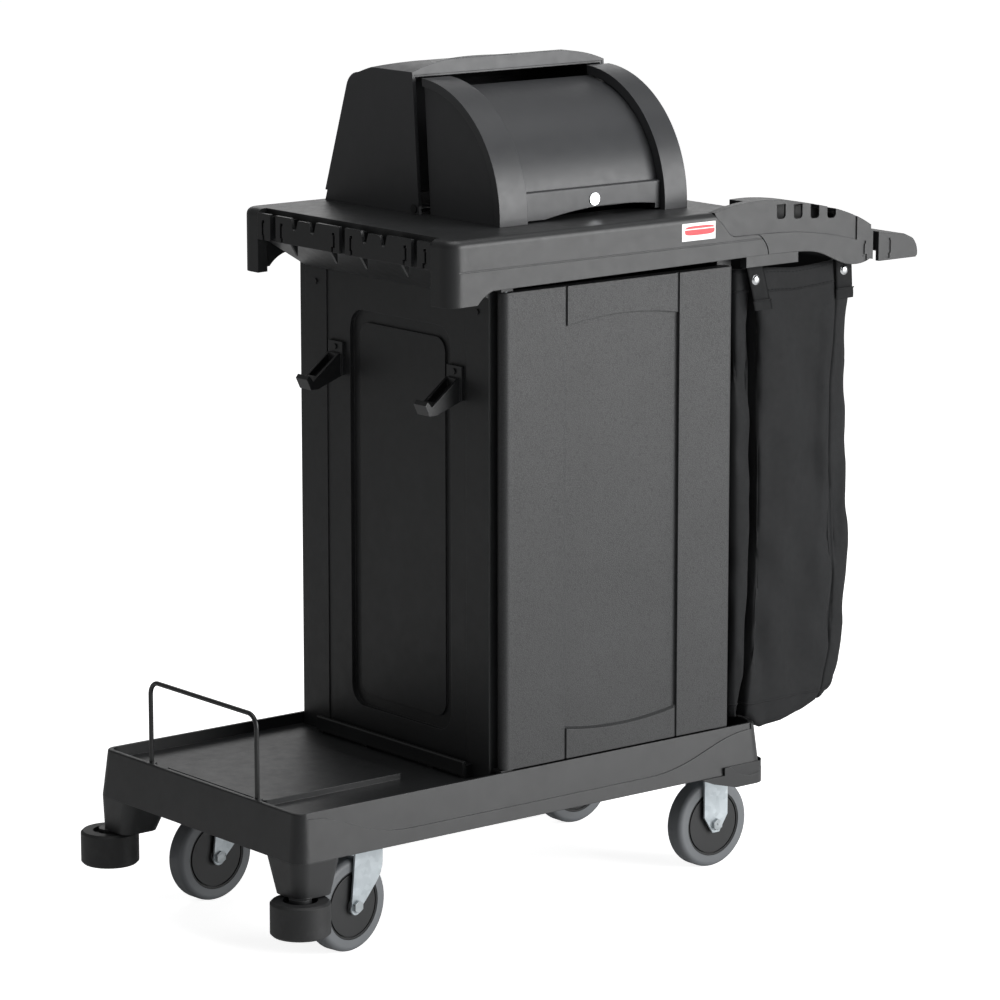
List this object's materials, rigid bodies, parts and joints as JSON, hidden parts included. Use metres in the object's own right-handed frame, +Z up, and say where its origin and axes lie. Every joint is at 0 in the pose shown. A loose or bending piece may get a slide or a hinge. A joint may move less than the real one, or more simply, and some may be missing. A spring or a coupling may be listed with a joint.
{
  "type": "housekeeping cart",
  "caption": "Compact black moulded housekeeping cart with a bucket platform, lockable cabinet, roll back hood, tool rack, push handle and hanging linen bag on caster wheels.",
  "frame": {"origin": "on the floor, under the middle of the cart's overall box", "axes": "+X from the bucket platform towards the bag and push handle, -Y towards the door side, +Z up"},
  "size_m": [1.1192, 0.522, 1.153],
  "materials": {
    "moulded_plastic": "satin black polyethylene",
    "panel_plastic": "matt black, finely grained",
    "grained_plastic": "black with a leather grain",
    "hood_plastic": "satin black, smooth",
    "fitting_plastic": "matt black nylon",
    "coated_wire": "black powder coat",
    "zinc_steel": "bright zinc plate",
    "bright_fasteners": "zinc plated",
    "dark_fasteners": "black coated screws and rivets",
    "grey_tread": "grey thermoplastic rubber",
    "wheel_hub": "black moulded",
    "roller_rubber": "matt black",
    "bag_fabric": "coated black nylon",
    "webbing": "woven black polyester",
    "nickel": "polished",
    "label": "blank printed film"
  },
  "bodies": {
    "cart": {"back_panel": "panel_plastic", "bag": "bag_fabric", "bag_end_panel": "panel_plastic", "bag_end_posts": "panel_plastic", "bag_frame_cross": "moulded_plastic", "bag_snaps": "nickel", "bag_straps": "webbing", "blank_label": "label", "broom_hooks": "fitting_plastic", "cabinet_floor": "panel_plastic", "caster_bolts": "bright_fasteners", "corner_clips": "fitting_plastic", "deck": "moulded_plastic", "door_catch": "fitting_plastic", "door_hinge_pins": "bright_fasteners", "far_bag_arm": "moulded_plastic", "far_corner_block": "moulded_plastic", "far_leg": "moulded_plastic", "far_rigid_fork": "zinc_steel", "far_swivel_plate": "zinc_steel", "far_tool_holder": "fitting_plastic", "hood_housing": "hood_plastic", "hood_left_cheek": "hood_plastic", "hood_pivot_pins": "dark_fasteners", "hood_right_cheek": "hood_plastic", "near_bag_arm": "moulded_plastic", "near_corner_block": "moulded_plastic", "near_leg": "moulded_plastic", "near_rigid_fork": "zinc_steel", "near_swivel_plate": "zinc_steel", "near_tool_holder": "fitting_plastic", "panel_screws": "dark_fasteners", "platform_end_panel": "panel_plastic", "platform_end_posts": "panel_plastic", "push_handle": "moulded_plastic", "rigid_axles": "bright_fasteners", "roller_bolts": "bright_fasteners", "shelves": "panel_plastic", "sill_bar": "fitting_plastic", "top": "moulded_plastic", "wire_guard": "coated_wire"},
    "near_swivel": {"near_swivel_fork": "zinc_steel", "near_swivel_axle": "bright_fasteners"},
    "near_swivel_wheel": {"near_swivel_hub": "wheel_hub", "near_swivel_tyre": "grey_tread"},
    "far_swivel": {"far_swivel_fork": "zinc_steel", "far_swivel_axle": "bright_fasteners"},
    "far_swivel_wheel": {"far_swivel_hub": "wheel_hub", "far_swivel_tyre": "grey_tread"},
    "near_rigid_wheel": {"near_rigid_hub": "wheel_hub", "near_rigid_tyre": "grey_tread"},
    "far_rigid_wheel": {"far_rigid_hub": "wheel_hub", "far_rigid_tyre": "grey_tread"},
    "near_roller": {"near_bumper_roller": "roller_rubber"},
    "far_roller": {"far_bumper_roller": "roller_rubber"},
    "door": {"cabinet_door": "grained_plastic", "door_liner": "panel_plastic"},
    "hood": {"hood_door": "hood_plastic", "lock_body": "nickel"},
    "lock": {"lock_barrel": "nickel"}
  },
  "joints": [
    {"name": "near_swivel_turn", "type": "hinge", "parent": "cart", "child": "near_swivel", "pos_m": [-0.3735, -0.154, 0.146], "axis": [0, 0, 1], "continuous": true},
    {"name": "near_swivel_roll", "type": "hinge", "parent": "near_swivel", "child": "near_swivel_wheel", "pos_m": [-0.40013, -0.15846, 0.0635], "axis": [-0.165, 0.9863, 0], "continuous": true},
    {"name": "far_swivel_turn", "type": "hinge", "parent": "cart", "child": "far_swivel", "pos_m": [-0.3735, 0.154, 0.146], "axis": [0, 0, 1], "continuous": true},
    {"name": "far_swivel_roll", "type": "hinge", "parent": "far_swivel", "child": "far_swivel_wheel", "pos_m": [-0.40045, 0.15235, 0.0635], "axis": [-0.061, 0.9981, 0], "continuous": true},
    {"name": "near_rigid_roll", "type": "hinge", "parent": "cart", "child": "near_rigid_wheel", "pos_m": [0.2455, -0.15, 0.0635], "axis": [0, 1, 0], "continuous": true},
    {"name": "far_rigid_roll", "type": "hinge", "parent": "cart", "child": "far_rigid_wheel", "pos_m": [0.2455, 0.15, 0.0635], "axis": [0, 1, 0], "continuous": true},
    {"name": "near_roller_spin", "type": "hinge", "parent": "cart", "child": "near_roller", "pos_m": [-0.5195, -0.221, 0.081], "axis": [0, 0, 1], "continuous": true},
    {"name": "far_roller_spin", "type": "hinge", "parent": "cart", "child": "far_roller", "pos_m": [-0.5195, 0.221, 0.081], "axis": [0, 0, 1], "continuous": true},
    {"name": "door_hinge", "type": "hinge", "parent": "cart", "child": "door", "pos_m": [-0.1735, -0.215, 0.545], "axis": [0, 0, -1], "range_deg": [0, 115]},
    {"name": "hood_pivot", "type": "hinge", "parent": "cart", "child": "hood", "pos_m": [0.022, 0.014, 0.953], "axis": [-1, 0, 0], "range_deg": [0, 86]},
    {"name": "lock_turn", "type": "hinge", "parent": "hood", "child": "lock", "pos_m": [0.031, -0.153, 0.9685], "axis": [0, 1, 0], "range_deg": [0, 90]}
  ]
}
